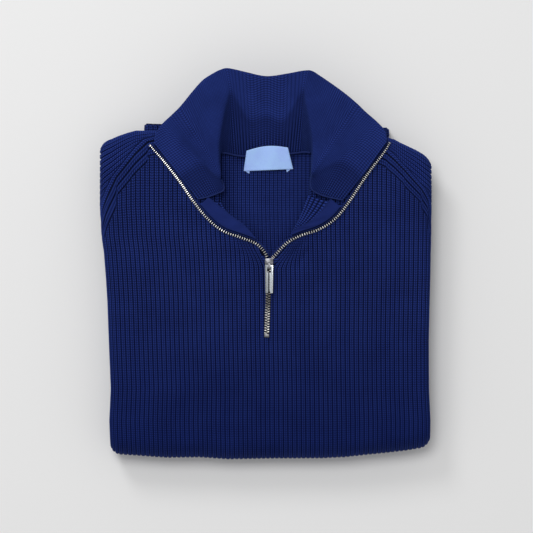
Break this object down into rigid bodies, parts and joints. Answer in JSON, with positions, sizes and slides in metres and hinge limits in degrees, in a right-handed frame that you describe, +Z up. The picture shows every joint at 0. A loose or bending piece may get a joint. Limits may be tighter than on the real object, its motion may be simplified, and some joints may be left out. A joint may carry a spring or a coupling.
{
  "type": "quarter zip sweater",
  "caption": "Folded rib-knit quarter zip sweater lying face up, with raglan sleeves, an open turned-down collar and a half-open metal zip with a swinging pull tab.",
  "frame": {"origin": "middle of the part's outline, on the surface that it lies on", "axes": "+Z up out of the surface, +Y from the bottom fold towards the collar, +X to the right in a view from above"},
  "size_m": [0.3413, 0.4011, 0.0619],
  "materials": {
    "rib_knit": "matt navy rib knit",
    "collar_knit": "matt navy fine rib knit",
    "facing_cloth": "smooth navy woven tape",
    "zip_tape": "dark navy woven zip tape",
    "zip_metal": "polished silver metal",
    "label_satin": "pale satin, bare"
  },
  "bodies": {
    "sweater": {"front_panel": "rib_knit", "sleeve_left": "rib_knit", "sleeve_right": "rib_knit", "back_panel": "rib_knit", "collar": "collar_knit", "folded_layers": "rib_knit", "hem_band": "rib_knit", "zip_teeth_left": "zip_metal", "zip_tape_left": "zip_tape", "zip_stop_top_left": "zip_metal", "zip_teeth_right": "zip_metal", "zip_tape_right": "zip_tape", "zip_stop_top_right": "zip_metal", "zip_facing_left": "facing_cloth", "zip_facing_right": "facing_cloth", "zip_chain": "zip_metal", "zip_stop_bottom": "zip_metal", "zip_slider": "zip_metal", "neck_label": "label_satin"},
    "pull": {"zip_pull": "zip_metal"}
  },
  "joints": [
    {"name": "pull_tab_swing", "type": "hinge", "parent": "sweater", "child": "pull", "pos_m": [0.0036, -0.0014, 0.05083], "axis": [-1, 0, 0], "range_deg": [0, 150]}
  ]
}
